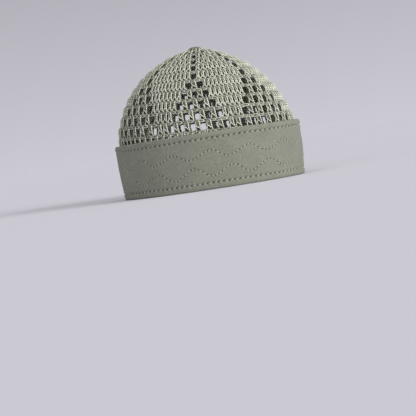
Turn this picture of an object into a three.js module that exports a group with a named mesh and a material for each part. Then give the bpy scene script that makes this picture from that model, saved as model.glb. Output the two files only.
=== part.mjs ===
// A kufi: a crocheted openwork crown sewn into a stitched cloth band. The hat stands on its rim.
// Millimetres, +Z up, +X towards the hat's front. The origin is the middle of the rim, on the ground.
import * as THREE from "three";

// Driving dimensions: the band
const BAND_LENGTH = 201; // front to back, outside, where the band is widest
const BAND_WIDTH = 160; // side to side, outside, where the band is widest
const BAND_HEIGHT = 58; // rim to top edge
const BAND_WALL = 3.2; // the folded cloth with its padding
const HEM_HEIGHT = 6.6; // rim up to the lower seam
const WELT_HEIGHT = 6.2; // upper seam up to the top edge
const SEAM_DEPTH = 0.6; // how far a seam pulls the cloth in
const SEAM_REACH = 1.4; // how far above and below a seam the cloth is pulled in
const EDGE_ROUND = 0.7; // rounding of the band's edges
const BAND_FACET = 6; // longest step round the band

// Driving dimensions: the crown
const CROWN_RISE = 90; // top edge of the band to the crown's pole
const CROWN_WALL = 2.6; // thickness of the crocheted fabric
const CROWN_TUCK = 14; // how far the crown reaches down inside the band
const CROWN_LEAN = 0.052; // slope by which every row runs lower at the front than at the back
const CROWN_FORWARD = 1.9; // how far the pole lies in front of the middle
const SEAT_GAP = 0.35; // clearance between the crown and the inside of the band
const TIP_RADIUS = 7.6; // the closing ring of stitches on the pole
const TIP_HEIGHT = 3.4; // how far the closing ring stands above the pole
const TIP_FACET = 3; // longest step round the closing ring
const CROWN_FACET = 9; // longest step round the crown

// Driving dimensions: the openwork
const GORES = 7; // repeats of the openwork round the crown
const FIRST_GORE = 0.2676; // middle of one gore, as a share of the way round from the back
const HOLE_WIDTH = 0.54; // clear width of a hole, as a share of the pitch of its row's holes
const HOLE_HEIGHT = 0.7; // clear height of a hole, as a share of the height of its row

// The band's outline. rise is a share of BAND_HEIGHT, reach a share of the band's widest size.
const BAND_SECTIONS = [
  { rise: 0, reach: 0.975 },
  { rise: 0.26, reach: 0.988 },
  { rise: 0.48, reach: 0.996 },
  { rise: 0.67, reach: 1 },
  { rise: 1, reach: 0.999 },
];
const BAND_RINGS = [0.4, 0.67]; // heights of the rings between the band's seams, as shares of BAND_HEIGHT

// The crown's rows of stitches, from the pole to the band. rise is the height of the row's middle above
// the band, as a share of CROWN_RISE. reach is the row's size as a share of the crown's size at the band.
// holes are those cut through in each gore, and pitch is their spacing as a share of the gore.
const CROWN_ROWS = [
  { rise: 0.971, reach: 0.222, holes: 0, pitch: 0 },
  { rise: 0.91, reach: 0.356, holes: 0, pitch: 0 },
  { rise: 0.844, reach: 0.47, holes: 0, pitch: 0 },
  { rise: 0.767, reach: 0.58, holes: 0, pitch: 0 },
  { rise: 0.67, reach: 0.681, holes: 0, pitch: 0 },
  { rise: 0.564, reach: 0.769, holes: 0, pitch: 0 },
  { rise: 0.454, reach: 0.841, holes: 3, pitch: 0.167 },
  { rise: 0.338, reach: 0.898, holes: 4, pitch: 0.163 },
  { rise: 0.213, reach: 0.946, holes: 5, pitch: 0.155 },
  { rise: 0.088, reach: 0.983, holes: 6, pitch: 0.152 },
];
const POLE = { rise: 1, reach: 0.08 }; // the edge of the closing ring
const SEAT = { rise: -0.039, reach: 1 }; // the row that lies inside the band

// The closing ring's outline. reach is a share of TIP_RADIUS, and drop is how far below its top it lies, as
// a share of TIP_HEIGHT.
const TIP_SECTIONS = [
  { reach: 0.6, drop: 0.12 },
  { reach: 1, drop: 0.5 },
  { reach: 1, drop: 1.1 },
];

const bandHalf = new THREE.Vector2(BAND_LENGTH / 2, BAND_WIDTH / 2);

// Collects the corners and triangles of one closed mesh.
class Shell {
  positions = [];
  triangles = [];

  // A ring of corners, given as points that each stand at a share of the way round.
  ring(points, shares) {
    const first = this.positions.length / 3;
    points.forEach((p) => this.positions.push(p.x, p.y, p.z));
    return { first, shares, count: points.length };
  }

  point(p) {
    this.positions.push(p.x, p.y, p.z);
    return this.positions.length / 3 - 1;
  }

  triangle(a, b, c) {
    this.triangles.push(a, b, c);
  }

  quad(a, b, c, d) {
    this.triangle(a, b, c);
    this.triangle(a, c, d);
  }

  // The strip between two rings, which may have different numbers of corners. It faces out where upper is
  // the higher ring of an outer wall.
  strip(upper, lower) {
    const at = (ring, i) => ring.first + (i % ring.count);
    const share = (ring, i) => ring.shares[i % ring.count] + Math.floor(i / ring.count);
    let i = 0;
    let j = 0;
    while (i < upper.count || j < lower.count) {
      const lowerIsNext = share(lower, j + 1) < share(upper, i + 1);
      if (i === upper.count || (lowerIsNext && j < lower.count)) {
        this.triangle(at(upper, i), at(lower, j), at(lower, j + 1));
        j += 1;
      } else {
        this.triangle(at(upper, i), at(lower, j), at(upper, i + 1));
        i += 1;
      }
    }
  }

  // Closes the top of a ring with a fan of triangles that meet in one corner.
  fan(ring, centre, facesUp) {
    for (let i = 0; i < ring.count; i += 1) {
      const a = ring.first + i;
      const b = ring.first + ((i + 1) % ring.count);
      if (facesUp) this.triangle(centre, a, b);
      else this.triangle(centre, b, a);
    }
  }

  mesh(name, material) {
    const geometry = new THREE.BufferGeometry();
    geometry.setAttribute("position", new THREE.Float32BufferAttribute(this.positions, 3));
    geometry.setIndex(this.triangles);
    geometry.computeVertexNormals();
    const mesh = new THREE.Mesh(geometry, material);
    mesh.name = name;
    return mesh;
  }
}

// The hat's oval seen from above: the angle that lies at a share of the way round, measured along the oval
// from the back of the hat, counter-clockwise.
const OVAL_STEPS = 1440;
const ovalLengths = [0];
for (let i = 1; i <= OVAL_STEPS; i += 1) {
  const angle = (k) => (2 * Math.PI * k) / OVAL_STEPS;
  const dx = bandHalf.x * (Math.cos(angle(i)) - Math.cos(angle(i - 1)));
  const dy = bandHalf.y * (Math.sin(angle(i)) - Math.sin(angle(i - 1)));
  ovalLengths.push(ovalLengths[i - 1] + Math.hypot(dx, dy));
}
const ovalGirth = ovalLengths[OVAL_STEPS];

function ovalAngle(share) {
  const length = (share - Math.floor(share)) * ovalGirth;
  const after = ovalLengths.findIndex((l) => l >= length) || 1;
  const part = (length - ovalLengths[after - 1]) / (ovalLengths[after] - ovalLengths[after - 1]);
  return ((after - 1 + part) / OVAL_STEPS) * 2 * Math.PI - Math.PI;
}

// A point of an oval whose half length and half width are given.
function ovalPoint(halfLength, halfWidth, z, share) {
  const angle = ovalAngle(share);
  return new THREE.Vector3(halfLength * Math.cos(angle), halfWidth * Math.sin(angle), z);
}

// Shares that are spread evenly round the oval, none further apart than the longest step.
function evenShares(girth, longest, multiple) {
  const count = multiple * Math.ceil(girth / longest / multiple);
  return Array.from({ length: count }, (_, i) => i / count);
}

// The curve through a table of sections: x is the reach and y the rise.
const curveThrough = (sections) =>
  new THREE.SplineCurve(sections.map((s) => new THREE.Vector2(s.reach, s.rise)));

// How far the band reaches at a height, as a share of its widest size.
function bandReach(z) {
  const rise = z / BAND_HEIGHT;
  const last = BAND_SECTIONS.length - 1;
  const above = Math.max(1, BAND_SECTIONS.findIndex((s) => s.rise >= rise));
  const [a, b] = [BAND_SECTIONS[above - 1], BAND_SECTIONS[Math.min(above, last)]];
  const part = (rise - a.rise) / (b.rise - a.rise);
  return THREE.MathUtils.lerp(a.reach, b.reach, part);
}

// The half length and half width of the band at a height, a depth below its outer face.
function bandSize(z, depth) {
  return bandHalf.clone().multiplyScalar(bandReach(z)).subScalar(depth);
}

// The band: one section of rings, up the outside and down the inside.
function makeBand(material) {
  const upperSeam = BAND_HEIGHT - WELT_HEIGHT;
  const [middle, widest] = BAND_RINGS.map((rise) => BAND_HEIGHT * rise);
  const section = [
    { z: 0, depth: BAND_WALL - EDGE_ROUND },
    { z: 0, depth: EDGE_ROUND },
    { z: EDGE_ROUND, depth: 0 },
    { z: HEM_HEIGHT - SEAM_REACH, depth: 0 },
    { z: HEM_HEIGHT, depth: SEAM_DEPTH },
    { z: HEM_HEIGHT + SEAM_REACH, depth: 0 },
    { z: middle, depth: 0 },
    { z: widest, depth: 0 },
    { z: upperSeam - SEAM_REACH, depth: 0 },
    { z: upperSeam, depth: SEAM_DEPTH },
    { z: upperSeam + SEAM_REACH, depth: 0 },
    { z: BAND_HEIGHT - EDGE_ROUND, depth: 0 },
    { z: BAND_HEIGHT, depth: EDGE_ROUND },
    { z: BAND_HEIGHT, depth: BAND_WALL - EDGE_ROUND },
    { z: BAND_HEIGHT - EDGE_ROUND, depth: BAND_WALL },
    { z: widest, depth: BAND_WALL },
    { z: middle, depth: BAND_WALL },
    { z: EDGE_ROUND, depth: BAND_WALL },
  ];
  const shares = evenShares(ovalGirth, BAND_FACET, 2);
  const shell = new Shell();
  const rings = section.map(({ z, depth }) => {
    const size = bandSize(z, depth);
    return shell.ring(shares.map((share) => ovalPoint(size.x, size.y, z, share)), shares);
  });
  rings.forEach((ring, i) => shell.strip(rings[(i + 1) % rings.length], ring));
  return shell.mesh("band", material);
}

// The crown. Its own frame has its origin on the level of the band's top edge. A place on it is given by a
// row, whose whole numbers are the rows' middles, and by a share of the way round.
const crownHalf = bandSize(BAND_HEIGHT, BAND_WALL + SEAT_GAP);
const crownCurve = curveThrough([POLE, ...CROWN_ROWS, SEAT]);
const SEAT_ROW = CROWN_ROWS.length + 1;

function crownOutside(row, share) {
  const at = crownCurve.getPoint(row / SEAT_ROW);
  const p = ovalPoint(crownHalf.x * at.x, crownHalf.y * at.x, at.y * CROWN_RISE, share);
  p.x += CROWN_FORWARD * at.y ** 2;
  p.z -= CROWN_LEAN * p.x;
  return p;
}

// The same place a depth below the outside, along the crown's own normal.
function crownPoint(row, share, depth) {
  const [rowStep, shareStep] = [0.01, 0.001];
  const p = crownOutside(row, share);
  const down = crownOutside(row - rowStep, share).sub(p).negate();
  const round = crownOutside(row, share + shareStep).sub(p);
  return p.addScaledVector(down.cross(round).normalize(), -depth);
}

// The shares at which a row of the crown has its corners: both sides of every hole, and enough between.
function rowShares({ reach, holes, pitch }) {
  const girth = ovalGirth * reach;
  if (!holes) return { shares: evenShares(girth, CROWN_FACET, GORES), holeStarts: new Set() };
  const halfHole = (HOLE_WIDTH * pitch) / 2 / GORES;
  const starts = [];
  for (let gore = 0; gore < GORES; gore += 1) {
    const middle = FIRST_GORE + gore / GORES;
    for (let hole = 0; hole < holes; hole += 1) {
      starts.push(middle + ((hole - (holes - 1) / 2) * pitch) / GORES - halfHole);
    }
  }
  const corners = starts.flatMap((start, i) => {
    const end = start + 2 * halfHole;
    const next = i + 1 < starts.length ? starts[i + 1] : starts[0] + 1;
    const steps = Math.ceil(((next - end) * girth) / CROWN_FACET);
    const posts = Array.from({ length: steps }, (_, k) => end + ((next - end) * k) / steps);
    return [{ share: start, isHole: true }, ...posts.map((share) => ({ share, isHole: false }))];
  });
  corners.forEach((corner) => (corner.share -= Math.floor(corner.share)));
  corners.sort((a, b) => a.share - b.share);
  const holeStarts = new Set(corners.flatMap((corner, i) => (corner.isHole ? [i] : [])));
  return { shares: corners.map((corner) => corner.share), holeStarts };
}

// The wall of a pierced row: posts of fabric, with an opening between them wherever a hole starts.
function addPiercedRow(shell, outer, inner, holeStarts) {
  for (let i = 0; i < outer.top.count; i += 1) {
    const next = (i + 1) % outer.top.count;
    const corners = ({ top, low }) => [top.first + i, low.first + i, low.first + next, top.first + next];
    const [a, b, c, d] = corners(outer);
    const [e, f, g, h] = corners(inner);
    if (holeStarts.has(i)) {
      shell.quad(a, e, h, d);
      shell.quad(b, c, g, f);
      shell.quad(a, b, f, e);
      shell.quad(d, h, g, c);
    } else {
      shell.quad(a, b, c, d);
      shell.quad(e, h, g, f);
    }
  }
}

// The closing ring of stitches on the pole, a low round knob.
function addTip(shell, firstRing) {
  const shares = evenShares(2 * Math.PI * TIP_RADIUS, TIP_FACET, GORES);
  const top = CROWN_RISE * POLE.rise + TIP_HEIGHT;
  const circle = (radius, z) => {
    const points = shares.map((share) => {
      const angle = 2 * Math.PI * share - Math.PI;
      return new THREE.Vector3(CROWN_FORWARD + radius * Math.cos(angle), radius * Math.sin(angle), z);
    });
    return shell.ring(points, shares);
  };
  const rings = TIP_SECTIONS.map((s) => circle(TIP_RADIUS * s.reach, top - TIP_HEIGHT * s.drop));
  shell.fan(rings[0], shell.point({ x: CROWN_FORWARD, y: 0, z: top }), true);
  rings.forEach((ring, i) => shell.strip(ring, rings[i + 1] ?? firstRing));
}

function makeCrown(material) {
  const shell = new Shell();
  const ringAt = (row, shares, depth) =>
    shell.ring(shares.map((share) => crownPoint(row, share, depth)), shares);
  let above = null;
  const join = (outer, inner) => {
    if (above) {
      shell.strip(above.outer, outer);
      shell.strip(inner, above.inner);
    } else {
      addTip(shell, outer);
      const under = new THREE.Vector3(CROWN_FORWARD, 0, CROWN_RISE * POLE.rise - CROWN_WALL);
      shell.fan(inner, shell.point(under), false);
    }
    above = { outer, inner };
  };
  CROWN_ROWS.forEach((tableRow, index) => {
    const row = index + 1;
    const { shares, holeStarts } = rowShares(tableRow);
    if (!tableRow.holes) {
      join(ringAt(row, shares, 0), ringAt(row, shares, CROWN_WALL));
      return;
    }
    const [topRow, lowRow] = [row - HOLE_HEIGHT / 2, row + HOLE_HEIGHT / 2];
    const outer = { top: ringAt(topRow, shares, 0), low: ringAt(lowRow, shares, 0) };
    const inner = { top: ringAt(topRow, shares, CROWN_WALL), low: ringAt(lowRow, shares, CROWN_WALL) };
    join(outer.top, inner.top);
    addPiercedRow(shell, outer, inner, holeStarts);
    above = { outer: outer.low, inner: inner.low };
  });
  const shares = evenShares(ovalGirth, CROWN_FACET, GORES);
  join(ringAt(SEAT_ROW, shares, 0), ringAt(SEAT_ROW, shares, CROWN_WALL));
  const hem = [0, CROWN_WALL].map((depth) => {
    const points = shares.map((share) =>
      ovalPoint(crownHalf.x - depth, crownHalf.y - depth, -CROWN_TUCK, share));
    return shell.ring(points, shares);
  });
  join(hem[0], hem[1]);
  shell.strip(hem[0], hem[1]);
  return shell.mesh("crown", material);
}

const clothColour = new THREE.MeshStandardMaterial({ color: "#7e7f73", roughness: 0.9, metalness: 0 });
const yarnColour = new THREE.MeshStandardMaterial({ color: "#9a9b8b", roughness: 0.85, metalness: 0 });

const band = makeBand(clothColour);
const crown = makeCrown(yarnColour);
crown.position.z = BAND_HEIGHT;

const kufi = new THREE.Group();
kufi.name = "kufi";
kufi.add(band, crown);

export default kufi;
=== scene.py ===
# A kufi: a crocheted openwork crown sewn into a quilted cloth band, standing on its rim.
# Metres, +Z up, +X towards the hat's front. Sizes named _MM are millimetres.
import math

import bpy
import numpy as np
from mathutils import Matrix, Vector


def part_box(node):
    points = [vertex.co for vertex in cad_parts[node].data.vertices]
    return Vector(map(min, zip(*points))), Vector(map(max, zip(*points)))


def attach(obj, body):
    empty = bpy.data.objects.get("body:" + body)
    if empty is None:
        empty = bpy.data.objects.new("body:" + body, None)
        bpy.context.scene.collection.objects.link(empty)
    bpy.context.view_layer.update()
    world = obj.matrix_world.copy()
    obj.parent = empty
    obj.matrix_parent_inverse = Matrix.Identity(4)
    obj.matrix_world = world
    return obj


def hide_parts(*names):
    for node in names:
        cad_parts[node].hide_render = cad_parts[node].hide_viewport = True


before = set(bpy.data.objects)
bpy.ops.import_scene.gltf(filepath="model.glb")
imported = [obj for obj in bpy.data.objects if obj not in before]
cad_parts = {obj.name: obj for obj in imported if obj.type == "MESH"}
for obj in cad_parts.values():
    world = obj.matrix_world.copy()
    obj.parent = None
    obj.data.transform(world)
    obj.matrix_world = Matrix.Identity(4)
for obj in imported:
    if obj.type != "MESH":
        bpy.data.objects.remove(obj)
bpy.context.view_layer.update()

MM = 0.001
rng = np.random.default_rng(14)

# Driving dimensions, from the frame
band_low, band_high = (np.array(corner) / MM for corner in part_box("band"))
BAND_HALF_MM = (band_high - band_low)[:2] / 2
BAND_HEIGHT_MM = band_high[2]

# The band
BAND_WALL_MM = 3.2
TOP_ROUND_MM = 1.1  # radius of the top edge's corners
RIM_ROUND_MM = 1.4  # radius of the rim's corners
HEM_MM = 6.6  # rim up to the lower seam
WELT_MM = 6.2  # upper seam up to the top edge
HEM_BULGE_MM = 0.4
WELT_BULGE_MM = 0.45
SEAT_GAP_MM = 0.35  # between the band's inside and the crown's outside
BAND_SECTIONS = [(0, 0.975), (0.26, 0.988), (0.48, 0.996), (0.67, 1), (1, 0.999)]  # rise, reach
WAVES = 14  # quilting waves round the band
WAVE_RISE = 0.575  # share of a wave on which its line climbs
UPPER_WAVE = {"middle": 35.7, "amplitude": 3.9, "peak": 0.2845}  # mm, mm, share of the way round
LOWER_WAVE = {"middle": 17.9, "amplitude": 4.5, "peak": 0.3214}
SEAM_STITCHES = 100
WAVE_STITCHES = 10  # in each wave

# How uneven the sewing is: size in mm, and how many times it comes and goes round the band
SEAM_DRIFT = (0.12, 4)
WAVE_DRIFT = (0.35, 5)
FINE_WAVE_DRIFT = (0.3, 9)
SWELLS = [(0.16, 11, 9), (0.12, 23, -6)]  # and the height in mm over which it leans by one radian

# The crown
CROWN_RISE_MM = 90
CROWN_LEAN = 0.052
CROWN_FORWARD_MM = 1.9
FABRIC_DEPTH_MM = 1.9  # from the crown's outside to the middle of its yarn
YARN_RADIUS_MM = 0.74
PLIES = 2.0  # twisted together in the yarn, and in the sewing thread
ROW_TILT_MM = 0.75  # how far a row leans out at its top and in at its foot
GORES = 7
FIRST_GORE = 0.2676
EDGE_ROW = 10.4  # rows below this lie inside the band

# The crown's rows, from the pole down: the height of the row's middle as a share of the crown's rise, its
# size as a share of the crown's size at the band, the open spaces in each gore, their pitch as a share of
# the gore, and how many posts stand side by side between one gore's spaces and the next one's.
CROWN_ROWS = [
    {"rise": 0.971, "reach": 0.222, "holes": 1, "pitch": 0.5, "solid": 2},
    {"rise": 0.91, "reach": 0.356, "holes": 1, "pitch": 0.336, "solid": 4},
    {"rise": 0.844, "reach": 0.47, "holes": 1, "pitch": 0.26, "solid": 6},
    {"rise": 0.767, "reach": 0.58, "holes": 1, "pitch": 0.213, "solid": 8},
    {"rise": 0.67, "reach": 0.681, "holes": 1, "pitch": 0.185, "solid": 10},
    {"rise": 0.564, "reach": 0.769, "holes": 2, "pitch": 0.182, "solid": 10},
    {"rise": 0.454, "reach": 0.841, "holes": 3, "pitch": 0.167, "solid": 8},
    {"rise": 0.338, "reach": 0.898, "holes": 4, "pitch": 0.163, "solid": 6},
    {"rise": 0.213, "reach": 0.946, "holes": 5, "pitch": 0.155, "solid": 4},
    {"rise": 0.088, "reach": 0.983, "holes": 6, "pitch": 0.152, "solid": 2},
    {"rise": -0.039, "reach": 1.0, "holes": 10, "pitch": 0.1, "solid": 1},
]
POLE = {"rise": 1.0, "reach": 0.08}
HEM = {"rise": -0.16, "reach": 1.0}

# One stitch's strands, seen from outside: across in half widths of the stitch, up in half heights of the
# row, and out in millimetres. They hang from the chain above and end in the chain below.
# How far out they lie also sets how much painted shade they get.
LOOP_STRAND = [
    (-0.30, 1.14, -0.6), (-0.66, 0.96, -0.1), (-0.84, 0.64, 0.25), (-0.92, 0.30, 0.45),
    (-0.50, 0.00, 0.75), (0.25, -0.22, 0.7), (0.80, -0.46, 0.2), (0.95, -0.64, -0.4),
]
LEG_STRAND = [
    (0.35, 1.14, -0.3), (0.62, 0.95, 0.6), (0.76, 0.60, 1.05), (0.86, 0.25, 1.05), (0.92, -0.10, 0.8),
    (1.05, -0.36, 0.75), (1.30, -0.58, 0.65), (1.60, -0.82, 0.45), (1.80, -1.06, 0.0),
]
FOOT_STRAND = [
    (0.20, 0.05, -0.4), (-0.60, 0.02, 0.2), (-1.10, -0.20, 0.6), (-1.50, -0.46, 0.65),
    (-1.55, -0.80, 0.45), (-1.15, -1.08, 0.1),
]
WRAP_STRAND = [
    (0.25, 1.10, -0.7), (-0.05, 0.85, -0.1), (-0.15, 0.55, 0.1), (0.15, 0.20, 0.0), (0.30, -0.10, -0.5),
]
BACK_STRAND = [
    (0, 1.10, -1.5), (0.05, 0.50, -1.5), (-0.05, -0.10, -1.2), (0.05, -0.60, -0.7), (0, -1.10, -0.6),
]
BACK_SPREAD_MM = 1.8  # between the three strands at the back of a stitch
TUBE_SIDES = 6
BACK_SIDES = 5

# The strands of a stitch, each with its steps, its sides, its thickness as a share of the yarn's, and for
# those at the back the side on which they run
STRANDS = [
    (LOOP_STRAND, 14, TUBE_SIDES, 1, 0),
    (LEG_STRAND, 14, TUBE_SIDES, 1, 0),
    (FOOT_STRAND, 9, TUBE_SIDES, 1, 0),
    (WRAP_STRAND, 8, TUBE_SIDES, 0.9, 0),
    (BACK_STRAND, 6, BACK_SIDES, 1.3, -1),
    (BACK_STRAND, 6, BACK_SIDES, 1.3, 0),
    (BACK_STRAND, 6, BACK_SIDES, 1.3, 1),
]
POST_ROOM_MM = 2.75  # what a post and the gap beside it take up besides the width between its strands
HALF_WIDTHS_MM = (0.95, 2.35)  # least and greatest half width
EDGE_HALF_MM = 1.05  # half width inside the band
EDGE_INSET_MM = 0.55  # how far the posts inside the band lie back
FLARES_MM = [(1.1, 2.35), (2.2, 0.9)]  # half widths, and how far the feet spread for each past the sides

# How much the stitches differ, as standard deviations
SWAY_SPREAD_MM = 0.14
STRETCH_SPREAD = 0.02
DEPTH_SPREAD_MM = 0.1
WIDTH_SPREAD = 0.05
ROW_SPREAD = 0.008  # rows

# The chain of loops below each row. Lengths are shares of a stitch's pitch, heights are in rows.
LINK_STEPS = 14
LINK_HALF_LENGTH = 0.72
LINK_HALF_HEIGHT = (0.104, 0.008)  # mean and standard deviation, as in the next lines
LINK_SLANT = (0.03, 0.02)
LINK_ROW_SPREAD = 0.01
LINK_OUT_MM = 0.15
LINK_TURN_MM = 0.4  # how much further one end of a loop stands out
LINK_OUT_SPREAD_MM = 0.12
LINK_THICKNESS = 1.03
LINK_INSET_MM = 0.5  # how far the chain inside the band lies back
UPPER_ROWS = 5
UPPER_LINK_SIZE = 1.2  # the upper rows are low, so their loops are larger beside them

# The knob: loops that run over its edge, and rings inside them
TIP_RADIUS_MM = 7.6
TIP_HEIGHT_MM = 3.4
TIP_BASE_MM = BAND_HEIGHT_MM + CROWN_RISE_MM
TIP_LOOPS = 11
TIP_LOOP_REACH = (0.53, 0.4)  # a loop's middle and half length, as shares of the knob's radius
TIP_LOOP_HALF_MM = 0.95
TIP_LOOP_FLARE = 0.45  # how much wider a loop is at the knob's edge
TIP_DOME = (0.85, 0.95)  # height in the middle, and drop to the edge, as shares of the knob's height
TIP_LEVELS_MM = (-0.3, 0.45)  # how far out a loop's sides count for its shade, and its ends beyond that
TIP_LOOP_THICKNESS = 1.1
TIP_RINGS = [(0.9, -0.6, -0.7), (0.55, 0.8, 0.3), (0.25, 0.9, 0.3)]  # share of the radius; mm up; level, mm
TIP_RING_STEPS = 42
TIP_RING_THICKNESS = 1.2
TIP_POSTS = 14  # in the first round below the knob
TIP_POST_HEIGHT = 0.48
TIP_POST_GAP = 0.5
TIP_CHAIN_SIZE = 0.9
TIP_ROWS = {"upper_chain": 0.02, "posts": 0.26, "lower_chain": 0.5}

# Painted shade on the yarn deep in the fabric: from SHADE_TOP_MM out of its middle inwards, and full at
# SHADE_REACH_MM below that. A strand's sides count as deeper, and its inner side gets less of it.
SHADE_TOP_MM = 1.37
SHADE_REACH_MM = 1.3
SIDE_DEPTH_MM = 0.5
SHADE_AT_SIDES = 0.78
SHADE_TURN = 1.2
SHADE_INSIDE = 0.2

# The camera, at the angle from which the hat was photographed
IMAGE_PX = 416
FOCAL_PX = 1217.24
SENSOR_MM = 36
CAMERA_DISTANCE = 1.3104
CAMERA_AZIMUTH = 0.2246
CAMERA_ELEVATION = 0.0333
CAMERA_ROLL = 0.1541
HAT_ORIGIN_PX = (214.62, 186.48)  # where the middle of the rim lies in the picture

# Suns: the place each shines from, its width in degrees, and its strength
SUNS = {
    "key": ((1.93, -0.85, 0.55), 36, 2.6),
    "front": ((-0.3, -2.0, 0.7), 60, 0.58),
}
SKY = [(0.0, (203, 202, 211)), (0.5, (80, 80, 84)), (1.0, (255, 255, 255))]  # height, colour on a screen
FLOOR_RADIUS = 60
FLOOR_CORNERS = 64
FLOOR_COLOURS = [(0.3, (0.757, 0.75, 0.814)), (0.7, (0.766, 0.759, 0.823))]


def make_camera():
    azimuth, elevation, roll = CAMERA_AZIMUTH, CAMERA_ELEVATION, CAMERA_ROLL
    back = Vector((
        math.sin(azimuth) * math.cos(elevation),
        -math.cos(azimuth) * math.cos(elevation),
        math.sin(elevation),
    ))
    level_right = Vector((math.cos(azimuth), math.sin(azimuth), 0))
    level_up = back.cross(level_right)
    right = math.cos(roll) * level_right - math.sin(roll) * level_up
    up = math.sin(roll) * level_right + math.cos(roll) * level_up
    offset_x = HAT_ORIGIN_PX[0] - IMAGE_PX / 2
    offset_y = IMAGE_PX / 2 - HAT_ORIGIN_PX[1]
    aim = (-FOCAL_PX * back - offset_x * right - offset_y * up).normalized()
    x_axis = (right - right.dot(aim) * aim).normalized()
    y_axis = (-aim).cross(x_axis)
    data = bpy.data.cameras.new("camera")
    data.sensor_width = SENSOR_MM
    data.lens = SENSOR_MM * FOCAL_PX / IMAGE_PX
    camera = bpy.data.objects.new("camera", data)
    rotation = Matrix((x_axis, y_axis, -aim)).transposed().to_4x4()
    camera.matrix_world = Matrix.Translation(CAMERA_DISTANCE * back) @ rotation
    bpy.context.collection.objects.link(camera)
    bpy.context.scene.camera = camera


# The hat's oval seen from above. A share of the way round is measured along it, from the back of the hat,
# counter-clockwise.
OVAL_STEPS = 2880
oval_angles = np.linspace(-np.pi, np.pi, OVAL_STEPS + 1)
oval_path = np.stack([BAND_HALF_MM[0] * np.cos(oval_angles), BAND_HALF_MM[1] * np.sin(oval_angles)], 1)
oval_lengths = np.concatenate([[0], np.cumsum(np.linalg.norm(np.diff(oval_path, axis=0), axis=1))])
OVAL_GIRTH_MM = oval_lengths[-1]


def oval_angle(share):
    return np.interp(np.mod(share, 1) * OVAL_GIRTH_MM, oval_lengths, oval_angles)


def full_turn(steps):
    """Angles that go once round in even steps."""
    return np.arange(steps) * 2 * np.pi / steps


def spline(points, at):
    """The curve that runs evenly through the points, at numbers that count them from 0."""
    points = np.asarray(points, float)
    last = len(points) - 1
    base = np.clip(np.floor(at).astype(int), 0, last)
    t = np.asarray(at - base)[..., None]
    p0, p1, p2, p3 = (points[np.clip(base + k, 0, last)] for k in (-1, 0, 1, 2))
    v0, v1 = (p2 - p0) / 2, (p3 - p1) / 2
    return (2 * p1 - 2 * p2 + v0 + v1) * t**3 + (3 * p2 - 3 * p1 - 2 * v0 - v1) * t**2 + v0 * t + p1


def band_reach(z_mm):
    rises, reaches = zip(*BAND_SECTIONS)
    return np.interp(z_mm / BAND_HEIGHT_MM, rises, reaches)


def band_place(share, z, out_mm):
    """Places out_mm outside the band's plain outer face."""
    angle = oval_angle(share)
    reach = band_reach(z)
    x = (BAND_HALF_MM[0] * reach + out_mm) * np.cos(angle)
    y = (BAND_HALF_MM[1] * reach + out_mm) * np.sin(angle)
    return np.stack([x, y, z], -1)


CROWN_HALF_MM = BAND_HALF_MM * band_reach(BAND_HEIGHT_MM) - BAND_WALL_MM - SEAT_GAP_MM
crown_table = [(row["reach"], row["rise"]) for row in [POLE, *CROWN_ROWS, HEM]]


def crown_outside(row, share):
    reach, rise = np.moveaxis(spline(crown_table, row), -1, 0)
    angle = oval_angle(share)
    x = CROWN_HALF_MM[0] * reach * np.cos(angle) + CROWN_FORWARD_MM * rise**2
    y = CROWN_HALF_MM[1] * reach * np.sin(angle)
    return np.stack([x, y, BAND_HEIGHT_MM + CROWN_RISE_MM * rise - CROWN_LEAN * x], -1)


def crown_place(row, share, out_mm):
    """Places on the crown, out_mm outside the middle of its yarn, and the outward directions there."""
    row, share = np.broadcast_arrays(row, share)
    place = crown_outside(row, share)
    down = crown_outside(row + 0.01, share) - place
    across = crown_outside(row, share + 0.0005) - place
    out = np.cross(down, across)
    out /= np.linalg.norm(out, axis=-1, keepdims=True)
    return place + out * (np.asarray(out_mm) - FABRIC_DEPTH_MM)[..., None], out


def crown_girth(row):
    return spline(crown_table, np.asarray(row, float))[..., 0] * OVAL_GIRTH_MM


# Meshes
def cell_corners(grid):
    """The four corners of each cell of the grids in an array's second and third axes."""
    return np.stack([grid[:, :-1, :-1], grid[:, :-1, 1:], grid[:, 1:, 1:], grid[:, 1:, :-1]], 3)


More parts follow.
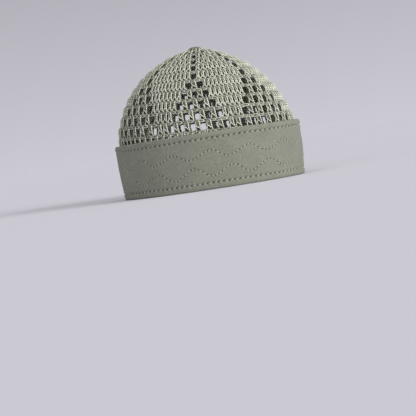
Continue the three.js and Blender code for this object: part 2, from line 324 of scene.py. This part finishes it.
class Mesh:
    """Collects corners in millimetres, faces, and the places of the corners in each face's UV map."""

    def __init__(self):
        self.corners, self.quads, self.quad_uvs, self.caps, self.shades = [], [], [], [], []
        self.count = 0

    def add(self, corners, quads, uvs, shades=None):
        self.corners.append(corners.reshape(-1, 3))
        self.quads.append(quads.reshape(-1, 4) + self.count)
        self.quad_uvs.append(uvs.reshape(-1, 4, 2))
        self.count += len(self.corners[-1])
        self.shades.append(np.zeros(len(self.corners[-1])) if shades is None else shades.ravel())

    def tubes(self, paths, radius, sides, outward, closed=False, out_mm=None):
        """Round strands along many paths of as many points each. radius may differ from point to point.
        out_mm, how far each point stands out of the fabric's middle, shades what lies deep in it."""
        paths = np.asarray(paths, float)
        many, steps, _ = paths.shape
        ahead = np.roll(paths, -1, 1)
        behind = np.roll(paths, 1, 1)
        if not closed:
            ahead[:, -1] = paths[:, -1]
            behind[:, 0] = paths[:, 0]
        along = ahead - behind
        along /= np.linalg.norm(along, axis=-1, keepdims=True) + 1e-12
        side = np.cross(outward, along)
        side /= np.linalg.norm(side, axis=-1, keepdims=True) + 1e-12
        top = np.cross(along, side)
        turn = full_turn(sides)
        ring = np.cos(turn)[:, None] * side[:, :, None] + np.sin(turn)[:, None] * top[:, :, None]
        radius = np.broadcast_to(radius, (many, steps))[:, :, None, None]
        corners = paths[:, :, None] + radius * ring
        index = np.arange(many * steps * sides).reshape(many, steps, sides)
        if closed:
            index = np.concatenate([index, index[:, :1]], 1)
        index = np.concatenate([index, index[:, :, :1]], 2)
        lengths = np.linalg.norm(np.diff(paths, axis=1, append=paths[:, :1]), axis=-1)
        lengths = np.concatenate([np.zeros((many, 1)), np.cumsum(lengths, 1)], 1)[:, : index.shape[1]]
        u = np.broadcast_to(lengths[:, :, None], index.shape)
        v = np.broadcast_to(np.arange(sides + 1) / sides, index.shape)
        if not closed:
            self.caps += (index[:, 0, -2::-1] + self.count).tolist()
            self.caps += (index[:, -1, :-1] + self.count).tolist()
        shades = None
        # Painted shade: the deeper a point lies in the fabric the darker, a strand's sides count deeper,
        # its inner side gets less
        if out_mm is not None:
            level = np.broadcast_to(out_mm, (many, steps))[:, :, None] + radius[..., 0] * np.sin(turn)
            level = level - SIDE_DEPTH_MM * np.cos(turn) ** 2
            facing = np.clip(SHADE_AT_SIDES + SHADE_TURN * np.sin(turn), SHADE_INSIDE, 1)
            shades = np.clip((SHADE_TOP_MM - level) / SHADE_REACH_MM, 0, 1) * facing
        self.add(corners, cell_corners(index), cell_corners(np.stack([u, v], -1)), shades)

    def build(self, name, material):
        corners = np.concatenate(self.corners) * MM
        quads = np.concatenate(self.quads)
        faces = quads.tolist() + self.caps
        mesh = bpy.data.meshes.new(name)
        mesh.from_pydata(corners.tolist(), [], faces)
        uv = mesh.uv_layers.new(name="UVMap")
        values = np.zeros((len(mesh.loops), 2))
        values[: quads.size] = np.concatenate(self.quad_uvs).reshape(-1, 2)
        uv.data.foreach_set("uv", values.ravel())
        layer = mesh.attributes.new("shade", "FLOAT", "POINT")
        layer.data.foreach_set("value", np.concatenate(self.shades))
        mesh.materials.append(material)
        mesh.shade_smooth()
        piece = bpy.data.objects.new(name, mesh)
        bpy.context.collection.objects.link(piece)
        return piece


# The crown's yarn
def row_chart(row):
    """The stitches of one row: the share at each post and at each open space, and how wide each is."""
    posts, spaces = [], []
    holes, pitch, solid = row["holes"], row["pitch"], row["solid"]
    for gore in range(GORES):
        middle = FIRST_GORE + gore / GORES
        for i in range(holes):
            spaces.append(middle + (i - (holes - 1) / 2) * pitch / GORES)
        for i in range(holes - 1):
            posts.append((middle + (i - (holes - 2) / 2) * pitch / GORES, pitch))
        gap = (1 - holes * pitch) / max(solid - 1, 1)
        for i in range(solid):
            posts.append((middle + (holes * pitch / 2 + i * gap) / GORES, gap))
    return posts, spaces


def half_width(row_number, gap):
    """Half the distance between a post's two strands, from the distance to its neighbour."""
    room = gap * crown_girth(row_number) / GORES
    return np.clip((room - POST_ROOM_MM) / 2, *HALF_WIDTHS_MM)


def add_posts(mesh, row_number, posts, height=1.0):
    shares = np.array([p[0] for p in posts])
    halves = np.array([half_width(row_number, p[1]) for p in posts])[:, None]
    if row_number > EDGE_ROW:
        halves = np.full_like(halves, EDGE_HALF_MM)
    many = len(posts)
    sway = rng.normal(0, SWAY_SPREAD_MM, (many, 1))
    stretch = 1 + rng.normal(0, STRETCH_SPREAD, (many, 1))
    depth = rng.normal(0, DEPTH_SPREAD_MM, (many, 1))
    inset = EDGE_INSET_MM if row_number > EDGE_ROW else 0
    spread = np.minimum(BACK_SPREAD_MM, halves)
    for strand, steps, sides, thickness, side in STRANDS:
        at = np.linspace(0, len(strand) - 1, steps)
        across, up, out = np.moveaxis(spline(strand, at), -1, 0)
        inner = np.clip(across, -1, 1)
        across_mm = inner * halves + (across - inner) * np.interp(halves, *FLARES_MM)
        across_mm = across_mm * (1 + rng.normal(0, WIDTH_SPREAD, (many, 1))) + sway * up + side * spread
        rows = row_number - 0.5 * height * up * stretch + rng.normal(0, ROW_SPREAD, (many, 1))
        share = shares[:, None] + across_mm / crown_girth(rows)
        out = out + depth
        paths, outward = crown_place(rows, share, out + ROW_TILT_MM * up - inset)
        mesh.tubes(paths, YARN_RADIUS_MM * thickness, sides, outward, out_mm=out)


def add_chain(mesh, row_number, shares, size=1.0):
    """A chain of loops along the lower edge of a row, one for each of its stitches."""
    shares = np.sort(np.mod(shares, 1))
    nexts = np.append(shares[1:], shares[0] + 1)
    many = len(shares)
    turn = full_turn(LINK_STEPS)
    middle = (shares + nexts)[:, None] / 2
    half = (nexts - shares)[:, None] * LINK_HALF_LENGTH
    share = middle + half * np.cos(turn)
    rise = (LINK_HALF_HEIGHT[0] + rng.normal(0, LINK_HALF_HEIGHT[1], (many, 1))) * size
    slant = LINK_SLANT[0] + rng.normal(0, LINK_SLANT[1], (many, 1))
    rows = row_number + rng.normal(0, LINK_ROW_SPREAD, (many, 1))
    rows = rows - rise * np.sin(turn) + slant * np.cos(turn)
    inset = LINK_INSET_MM if row_number > EDGE_ROW else 0
    out = LINK_OUT_MM + LINK_TURN_MM * np.cos(turn) + rng.normal(0, LINK_OUT_SPREAD_MM, (many, 1))
    paths, outward = crown_place(rows, share, out - inset)
    mesh.tubes(paths, YARN_RADIUS_MM * LINK_THICKNESS, TUBE_SIDES, outward, closed=True, out_mm=out)


def add_tip_strands(mesh, x, y, z, thickness, level):
    """Closed strands on the knob, at places given as they are before the crown's lean."""
    paths = np.stack([x, y, z - CROWN_LEAN * x], -1)
    outward = paths - np.array([CROWN_FORWARD_MM, 0, TIP_BASE_MM - TIP_RADIUS_MM])
    mesh.tubes(paths, YARN_RADIUS_MM * thickness, TUBE_SIDES, outward, closed=True, out_mm=level)


def add_tip(mesh):
    """The closing ring: loops that run from the middle of the knob over its edge, and the rings in it."""
    turn = full_turn(TIP_LOOPS)[:, None]
    steps = full_turn(LINK_STEPS)
    reach = TIP_RADIUS_MM * (TIP_LOOP_REACH[0] + TIP_LOOP_REACH[1] * np.cos(steps))
    spread = TIP_LOOP_HALF_MM * np.sin(steps) * (1 + TIP_LOOP_FLARE * np.cos(steps))
    dome = TIP_DOME[0] - TIP_DOME[1] * (reach / TIP_RADIUS_MM) ** 4
    z = TIP_BASE_MM + TIP_HEIGHT_MM * dome - YARN_RADIUS_MM
    x = CROWN_FORWARD_MM + reach * np.cos(turn) - spread * np.sin(turn)
    y = reach * np.sin(turn) + spread * np.cos(turn)
    level = TIP_LEVELS_MM[0] + TIP_LEVELS_MM[1] * np.abs(np.cos(steps))
    add_tip_strands(mesh, x, y, z, TIP_LOOP_THICKNESS, level)
    around = full_turn(TIP_RING_STEPS)[None]
    for reach, z, level in TIP_RINGS:
        x = CROWN_FORWARD_MM + TIP_RADIUS_MM * reach * np.cos(around)
        y = TIP_RADIUS_MM * reach * np.sin(around)
        add_tip_strands(mesh, x, y, TIP_BASE_MM + z, TIP_RING_THICKNESS, level)


def make_round(name, numbers, material, with_tip=False):
    mesh = Mesh()
    if with_tip:
        add_tip(mesh)
        ring = np.arange(TIP_POSTS) / TIP_POSTS
        add_chain(mesh, TIP_ROWS["upper_chain"], ring, TIP_CHAIN_SIZE)
        add_posts(mesh, TIP_ROWS["posts"], [(share, TIP_POST_GAP) for share in ring], TIP_POST_HEIGHT)
        add_chain(mesh, TIP_ROWS["lower_chain"], ring, TIP_CHAIN_SIZE)
    for number in numbers:
        posts, spaces = row_chart(CROWN_ROWS[number - 1])
        add_posts(mesh, number, posts)
        size = UPPER_LINK_SIZE if number <= UPPER_ROWS else 1
        add_chain(mesh, number + 0.5, [p[0] for p in posts] + spaces, size)
    piece = mesh.build(name, material)
    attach(piece, "root")
    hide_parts("crown")
    return piece


# The band, its four sewn lines from the rim up, and their thread
COLUMNS_PER_STITCH = 7
BAND_COLUMNS = WAVES * WAVE_STITCHES * COLUMNS_PER_STITCH
OUTER_ROWS = [9, 14, 16, 16, 9]  # between one sewn line and the next
ROW_CROWDING = 0.11
LIP_DEPTHS_MM = (1.6, 2.1)  # rows on the top edge, measured from the outer face
INSIDE_MARGINS_MM = (4, 3)  # from the top edge and the rim to the inside's first and last rows
INSIDE_ROWS = 10
RIM_MIDDLE_MM = 1.6  # a row on the flat of the rim, measured from the outer face
# Painted shade along the bottom of the rim: how dark, and the height in mm over which it fades
RIM_SHADE = 0.3
RIM_SHADE_MM = 1.3

LINE_STITCHES = [SEAM_STITCHES, WAVES * WAVE_STITCHES, WAVES * WAVE_STITCHES, SEAM_STITCHES]
LINE_DEPTHS_MM = [0.7, 0.32, 0.32, 0.7]
LINE_WIDTHS_MM = [1.0, 0.85, 0.85, 1.0]
GROOVE_SHARES = (0.55, 0.45)  # of a line's depth, between two needle holes, and what a hole adds to it
PUCKER_MM = [0.32, 0.16, 0.16, 0.32]
PUCKER_AWAY = 1.9  # line widths from the line
HOLE_REACH_MM = [0.66, 0.5, 0.5, 0.66]
HOLE_DEPTH_MM = 0.6

THREAD_STEPS = 9
THREAD_RADII_MM = [0.36, 0.32, 0.32, 0.36]
THREAD_SLANT_MM = 0.5  # how far each stitch of the thread rises
THREAD_HALF = 0.33  # half a stitch's length, in pitches
THREAD_SINK = 0.6  # share of the line's depth at which the thread lies
THREAD_LIFT_MM = 0.04
THREAD_DIVE_MM = 0.5  # how far its ends go down into the needle holes
THREAD_TAPER = (1.04, 0.05)  # the thread's round end: where it starts, and its thinnest, as squares
THREAD_LENGTH_SPREAD = 0.12
THREAD_SLANT_SPREAD = 0.3
THREAD_HEIGHT_SPREAD_MM = 0.1


def drift(share, size_mm, times, phase=0.0):
    """A slow wave round the band."""
    return size_mm * np.sin(2 * np.pi * times * share + phase)


def wave_height(wave, share):
    """The height of a quilting line: it climbs slowly and falls faster."""
    part = np.mod((share - wave["peak"]) * WAVES + WAVE_RISE, 1)
    climb = -np.cos(np.pi * part / WAVE_RISE)
    fall = np.cos(np.pi * (part - WAVE_RISE) / (1 - WAVE_RISE))
    uneven = drift(share, *WAVE_DRIFT, wave["middle"]) + drift(share, *FINE_WAVE_DRIFT)
    return wave["middle"] + wave["amplitude"] * np.where(part < WAVE_RISE, climb, fall) + uneven


def line_heights(share):
    """The heights of the band's four sewn lines at shares of the way round."""
    seam = drift(share, *SEAM_DRIFT)
    return [
        HEM_MM + seam,
        wave_height(LOWER_WAVE, share),
        wave_height(UPPER_WAVE, share),
        BAND_HEIGHT_MM - WELT_MM + seam,
    ]


def stitch_phase(line, share):
    """1 where a needle went through, falling to 0 half a stitch away."""
    return 0.5 + 0.5 * np.cos(2 * np.pi * share * LINE_STITCHES[line])


def band_relief(share, z, heights):
    """How far the outer face stands out at places on it, and the painted shade in the needle's holes."""
    relief = np.zeros_like(z)
    holes = np.zeros_like(z)
    for line, height in enumerate(heights):
        away = (z - height) / LINE_WIDTHS_MM[line]
        phase = stitch_phase(line, share)
        groove = np.exp(-(away**2))
        relief -= LINE_DEPTHS_MM[line] * groove * (GROOVE_SHARES[0] + GROOVE_SHARES[1] * phase**2)
        relief += PUCKER_MM[line] * np.exp(-((np.abs(away) - PUCKER_AWAY) ** 2)) * (1 - phase)
        holes += phase**3 * np.exp(-((z - height) / HOLE_REACH_MM[line]) ** 2)
    relief -= HOLE_DEPTH_MM * np.clip(holes, 0, 1)
    swell = sum(drift(share, size, times, z / lean_mm) for size, times, lean_mm in SWELLS)
    return relief + swell * np.sin(np.pi * np.clip(z / BAND_HEIGHT_MM, 0, 1)), np.clip(holes, 0, 1)


def band_rows(heights, top):
    """Heights of the outer face's rows. They crowd together along the sewn lines and follow them."""
    knots = [np.full_like(heights[0], RIM_ROUND_MM), *heights, np.full_like(heights[0], top)]
    rows = []
    for below, above, count in zip(knots, knots[1:], OUTER_ROWS):
        part = np.arange(count) / count
        eased = part - ROW_CROWDING * np.sin(2 * np.pi * part)
        rows += [below + (above - below) * e for e in eased]
    rows.append(knots[-1])
    return np.stack(rows)


def band_section():
    """The band's section from the top of its outer face over the top edge, down the inside and round the
    rim: heights, and depths behind the outer face, in millimetres."""
    angles = np.linspace(0, np.pi / 2, 5)
    finer_angles = np.linspace(0, np.pi / 2, 6)
    top, rim = TOP_ROUND_MM, RIM_ROUND_MM
    top_z, top_wall = BAND_HEIGHT_MM - top, BAND_WALL_MM - top
    rim_wall = BAND_WALL_MM - rim
    inside_top, inside_low = BAND_HEIGHT_MM - INSIDE_MARGINS_MM[0], INSIDE_MARGINS_MM[1]
    section = [(top_z + top * math.sin(a), top * (1 - math.cos(a))) for a in angles[1:]]
    section += [(BAND_HEIGHT_MM, depth) for depth in LIP_DEPTHS_MM]
    section += [(top_z + top * math.cos(a), top_wall + top * math.sin(a)) for a in angles[1:]]
    section += [(z, BAND_WALL_MM) for z in np.linspace(inside_top, inside_low, INSIDE_ROWS)]
    section += [(rim - rim * math.sin(a), rim_wall + rim * math.cos(a)) for a in angles]
    section.append((0, RIM_MIDDLE_MM))
    section += [(rim - rim * math.cos(a), rim - rim * math.sin(a)) for a in finer_angles[:-1]]
    return np.array(section)


def make_band(material):
    share = np.arange(BAND_COLUMNS) / BAND_COLUMNS
    heights = line_heights(share)
    outer_z = band_rows(heights, BAND_HEIGHT_MM - TOP_ROUND_MM)
    relief, holes = band_relief(share[None], outer_z, [h[None] for h in heights])
    welt = np.clip((outer_z - (BAND_HEIGHT_MM - WELT_MM)) / WELT_MM, 0, 1)
    hem = np.clip(1 - outer_z / HEM_MM, 0, 1)
    relief += WELT_BULGE_MM * np.sin(np.pi * welt) + HEM_BULGE_MM * np.sin(np.pi * hem)
    section = np.repeat(band_section()[..., None], BAND_COLUMNS, 2)
    z = np.concatenate([outer_z, section[:, 0]])
    out = np.concatenate([relief, -section[:, 1]])
    # painted shade in the needle holes
    painted_shade = np.concatenate([holes, np.zeros_like(section[:, 0])])
    # painted shade along the bottom of the rim
    painted_shade += RIM_SHADE * np.exp(-((z / RIM_SHADE_MM) ** 2))
    corners = band_place(share, z, out)
    rows, columns = z.shape
    index = np.arange(rows * columns).reshape(rows, columns)
    index = np.concatenate([index, index[:1]])
    index = np.concatenate([index, index[:, :1]], 1)
    steps = np.linalg.norm(np.diff(corners, axis=0, append=corners[:1]), axis=-1)
    v = np.concatenate([np.zeros((1, columns)), np.cumsum(steps, 0)])
    v = np.concatenate([v, v[:, :1]], 1)
    u = np.broadcast_to(np.arange(columns + 1) / columns * OVAL_GIRTH_MM, v.shape)
    mesh = Mesh()
    mesh.add(corners, cell_corners(index[None]), cell_corners(np.stack([u, v], -1)[None]), painted_shade)
    piece = mesh.build("band_cloth", material)
    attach(piece, "root")
    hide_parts("band")
    return piece


def make_threads(material):
    mesh = Mesh()
    for line, count in enumerate(LINE_STITCHES):
        middle = (np.arange(count) + 0.5)[:, None] / count
        part = np.linspace(-1, 1, THREAD_STEPS)
        half = THREAD_HALF * (1 + rng.normal(0, THREAD_LENGTH_SPREAD, (count, 1)))
        slant = THREAD_SLANT_MM * (1 + rng.normal(0, THREAD_SLANT_SPREAD, (count, 1)))
        share = middle + half * part / count
        z = line_heights(share)[line] + rng.normal(0, THREAD_HEIGHT_SPREAD_MM, (count, 1)) + slant * part
        out = -LINE_DEPTHS_MM[line] * THREAD_SINK + THREAD_LIFT_MM - THREAD_DIVE_MM * np.abs(part) ** 3
        taper = np.sqrt(np.clip(THREAD_TAPER[0] - part**6, THREAD_TAPER[1], 1))
        radius = THREAD_RADII_MM[line] * taper
        paths = band_place(share, z, out + np.zeros_like(share))
        outward = paths * np.array([1, 1, 0])
        mesh.tubes(paths, radius, TUBE_SIDES, outward)
    piece = mesh.build("band_stitches", material)
    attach(piece, "root")
    return piece


# Materials
def linear(red, green, blue):
    """A colour as seen on a screen, 0 to 255, as the shader's linear values."""
    return tuple(
        ((c / 255 + 0.055) / 1.055) ** 2.4 if c > 10 else c / 255 / 12.92
        for c in (red, green, blue)
    )


def set_stops(ramp, stops):
    points = ramp.color_ramp.elements
    while len(points) < len(stops):
        points.new(0.5)
    for point, (at, colour) in zip(points, stops):
        point.position = at
        point.color = (*colour, 1)


class Nodes:
    """Short calls that add nodes to one material and join them."""

    def __init__(self, name):
        self.material = bpy.data.materials.new(name)
        self.material.use_nodes = True
        self.tree = self.material.node_tree
        self.shader = self.tree.nodes["Principled BSDF"]

    def node(self, kind, **settings):
        made = self.tree.nodes.new(kind)
        for key, value in settings.items():
            setattr(made, key, value)
        return made

    def join(self, source, target):
        self.tree.links.new(source, target)

    def finish(self, colour, roughness, specular, bump=None):
        self.join(colour, self.shader.inputs["Base Color"])
        if bump is not None:
            self.join(bump, self.shader.inputs["Normal"])
        self.shader.inputs["Roughness"].default_value = roughness
        self.shader.inputs["Specular IOR Level"].default_value = specular
        return self.material

    def math(self, operation, a, b=None):
        made = self.node("ShaderNodeMath", operation=operation)
        for socket, value in zip(made.inputs, (a, b)):
            if isinstance(value, (int, float)):
                socket.default_value = value
            elif value is not None:
                self.join(value, socket)
        return made.outputs[0]

    def noise(self, vector, scale, detail=2.0, roughness=0.5):
        made = self.node("ShaderNodeTexNoise")
        self.join(vector, made.inputs["Vector"])
        made.inputs["Scale"].default_value = scale
        made.inputs["Detail"].default_value = detail
        made.inputs["Roughness"].default_value = roughness
        return made.outputs["Fac"]

    def ramp(self, value, stops):
        made = self.node("ShaderNodeValToRGB")
        self.join(value, made.inputs[0])
        set_stops(made, stops)
        return made.outputs[0]

    def mix(self, share, a, b, blend="MIX"):
        made = self.node("ShaderNodeMix", data_type="RGBA", blend_type=blend)
        for socket, value in ((made.inputs[0], share), (made.inputs[6], a), (made.inputs[7], b)):
            if isinstance(value, (int, float)):
                socket.default_value = value
            elif isinstance(value, tuple):
                socket.default_value = (*value, 1)
            else:
                self.join(value, socket)
        return made.outputs[2]

    def bump(self, height, distance, strength=1.0, normal=None):
        made = self.node("ShaderNodeBump")
        self.join(height, made.inputs["Height"])
        made.inputs["Distance"].default_value = distance
        made.inputs["Strength"].default_value = strength
        if normal is not None:
            self.join(normal, made.inputs["Normal"])
        return made.outputs[0]

    def uv(self):
        """Millimetres along and across the surface. Across a strand it is the share of a turn."""
        split = self.node("ShaderNodeSeparateXYZ")
        self.join(self.node("ShaderNodeUVMap", uv_map="UVMap").outputs[0], split.inputs[0])
        return split.outputs[0], split.outputs[1]

    def object_place(self):
        return self.node("ShaderNodeTexCoord").outputs["Object"]

    def shade(self):
        return self.node("ShaderNodeAttribute", attribute_name="shade").outputs["Fac"]

    def plies(self, turns_per_mm):
        """1 on top of each ply of a twisted strand, 0 between two plies."""
        along, around = self.uv()
        along, around = self.math("MULTIPLY", along, turns_per_mm), self.math("MULTIPLY", around, PLIES)
        turns = self.math("ADD", along, around)
        return self.math("ABSOLUTE", self.math("SINE", self.math("MULTIPLY", turns, math.pi)))


def yarn_material():
    nodes = Nodes("crown_yarn")
    ply = nodes.plies(turns_per_mm=0.42)
    place = nodes.object_place()
    mottle = nodes.noise(place, scale=160, detail=3)
    fibres = nodes.noise(place, scale=4200, detail=2)
    base = nodes.ramp(mottle, [(0.3, linear(232, 234, 212)), (0.7, linear(250, 252, 232))])
    # painted shade in the grooves between the plies
    between = nodes.ramp(ply, [(0.0, (0.2, 0.2, 0.17)), (0.75, (1, 1, 1))])
    colour = nodes.mix(1.0, base, between, "MULTIPLY")
    # painted shade deep in the fabric, from the shade attribute
    colour = nodes.mix(nodes.math("MULTIPLY", nodes.shade(), 0.95), colour, linear(34, 34, 27))
    bump = nodes.bump(ply, distance=0.0005, strength=0.9)
    bump = nodes.bump(fibres, distance=0.00012, strength=0.7, normal=bump)
    return nodes.finish(colour, roughness=0.82, specular=0.25, bump=bump)


def cloth_material():
    nodes = Nodes("band_cloth")
    weave_mm = 0.62
    place = nodes.object_place()
    threads = [
        nodes.math("SINE", nodes.math("MULTIPLY", way, 2 * math.pi / weave_mm)) for way in nodes.uv()
    ]
    weave = nodes.math("MULTIPLY", *threads)
    soft = nodes.noise(place, scale=60, detail=3, roughness=0.6)
    heather = nodes.noise(place, scale=1100, detail=3, roughness=0.7)
    colour = nodes.ramp(heather, [(0.32, linear(115, 117, 103)), (0.68, linear(153, 155, 140))])
    patches = nodes.ramp(soft, [(0.3, (0.9, 0.9, 0.9)), (0.7, (1, 1, 1))])
    colour = nodes.mix(1.0, colour, patches, "MULTIPLY")
    # painted shade in the needle holes and along the bottom of the rim, from the shade attribute
    colour = nodes.mix(nodes.shade(), colour, linear(34, 35, 29))
    bump = nodes.bump(weave, distance=0.00008, strength=0.5)
    bump = nodes.bump(heather, distance=0.00015, strength=0.6, normal=bump)
    nodes.shader.inputs["Sheen Weight"].default_value = 0.1
    return nodes.finish(colour, roughness=0.9, specular=0.2, bump=bump)


def thread_material():
    nodes = Nodes("stitching_thread")
    ply = nodes.plies(turns_per_mm=1.3)
    # painted shade in the grooves between the thread's plies
    colour = nodes.ramp(ply, [(0.0, linear(140, 141, 127)), (0.6, linear(190, 191, 176))])
    bump = nodes.bump(ply, distance=0.0001, strength=0.6)
    return nodes.finish(colour, roughness=0.7, specular=0.5, bump=bump)


def stage_material():
    nodes = Nodes("stage")
    colour = nodes.ramp(nodes.noise(nodes.object_place(), scale=0.6, detail=1), FLOOR_COLOURS)
    return nodes.finish(colour, roughness=1, specular=0)


# The stage and the light
def make_stage():
    """A wide round floor, as bright as the air above it, so that no horizon shows."""
    corners = [
        (FLOOR_RADIUS * math.cos(angle), FLOOR_RADIUS * math.sin(angle), 0)
        for angle in full_turn(FLOOR_CORNERS)
    ]
    mesh = bpy.data.meshes.new("floor")
    mesh.from_pydata(corners, [], [tuple(range(FLOOR_CORNERS))])
    mesh.materials.append(stage_material())
    floor = bpy.data.objects.new("floor", mesh)
    bpy.context.collection.objects.link(floor)


def make_sun(name, place, spread_degrees, power):
    data = bpy.data.lights.new(name, "SUN")
    data.angle = math.radians(spread_degrees)
    data.energy = power
    light = bpy.data.objects.new(name, data)
    light.location = place
    light.rotation_euler = (-Vector(place)).to_track_quat("-Z", "Y").to_euler()
    bpy.context.collection.objects.link(light)


def make_sky():
    """Air that is as bright as the floor low down, darker half-way up, and white overhead."""
    world = bpy.data.worlds.new("world")
    world.use_nodes = True
    tree = world.node_tree
    place = tree.nodes.new("ShaderNodeTexCoord")
    split = tree.nodes.new("ShaderNodeSeparateXYZ")
    ramp = tree.nodes.new("ShaderNodeValToRGB")
    set_stops(ramp, [(height, linear(*colour)) for height, colour in SKY])
    tree.links.new(place.outputs["Generated"], split.inputs[0])
    tree.links.new(split.outputs["Z"], ramp.inputs[0])
    tree.links.new(ramp.outputs[0], tree.nodes["Background"].inputs[0])
    bpy.context.scene.world = world


make_camera()
yarn = yarn_material()
make_round("crown_top", [1, 2, 3, 4], yarn, with_tip=True)
make_round("crown_upper", [5, 6], yarn)
make_round("crown_middle", [7, 8], yarn)
make_round("crown_lower", [9, 10, 11], yarn)
make_band(cloth_material())
make_threads(thread_material())
make_stage()
for name, settings in SUNS.items():
    make_sun(name, *settings)
make_sky()
bpy.context.scene.view_settings.view_transform = "Standard"
